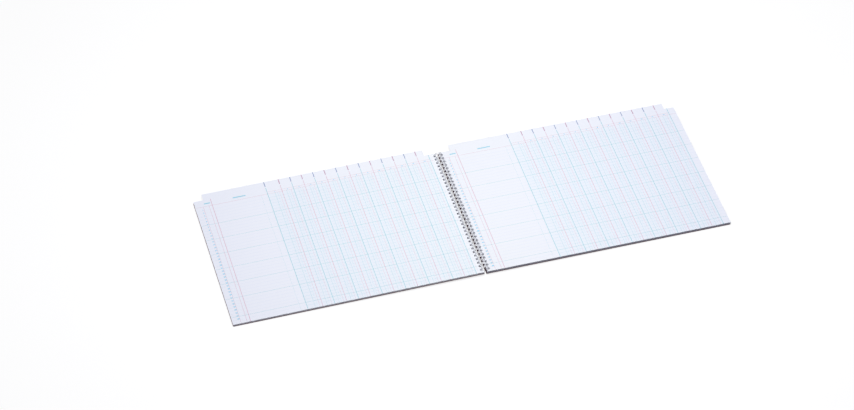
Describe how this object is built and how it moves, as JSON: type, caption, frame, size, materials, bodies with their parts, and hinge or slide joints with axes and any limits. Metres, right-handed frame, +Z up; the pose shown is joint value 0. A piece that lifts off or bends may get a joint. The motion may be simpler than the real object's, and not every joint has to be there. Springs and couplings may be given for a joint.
{
  "type": "ledger book",
  "caption": "Wire-bound columnar ledger lying open, with ruled account pages, a taller heading leaf in each half and plain board covers.",
  "frame": {"origin": "middle of the open book's footprint, on the table", "axes": "+X across the spread to the right-hand fore edge, +Y along the spine to the head, +Z up"},
  "size_m": [0.8524, 0.307, 0.0135],
  "materials": {
    "cover_board": "maroon board with a fine grain",
    "ruled_paper": "smooth pale writing paper, ruled in light blue and pink",
    "wire": "bright drawn wire"
  },
  "bodies": {
    "back": {"back_cover": "cover_board", "binding_wire": "wire"},
    "right_leaves": {"right_pages": "ruled_paper"},
    "front": {"front_cover": "cover_board"},
    "left_leaves": {"left_pages": "ruled_paper"}
  },
  "joints": [
    {"name": "right_leaves_turn", "type": "hinge", "parent": "back", "child": "right_leaves", "pos_m": [0, -0.00675, 0.00678], "axis": [0, -1, 0], "range_deg": [0, 180]},
    {"name": "front_cover_turn", "type": "hinge", "parent": "back", "child": "front", "pos_m": [0, -0.00675, 0.00678], "axis": [0, 1, 0], "range_deg": [0, 180.5]},
    {"name": "left_leaves_turn", "type": "hinge", "parent": "front", "child": "left_leaves", "pos_m": [0, -0.00675, 0.00678], "axis": [0, 1, 0], "range_deg": [0, 180]}
  ]
}
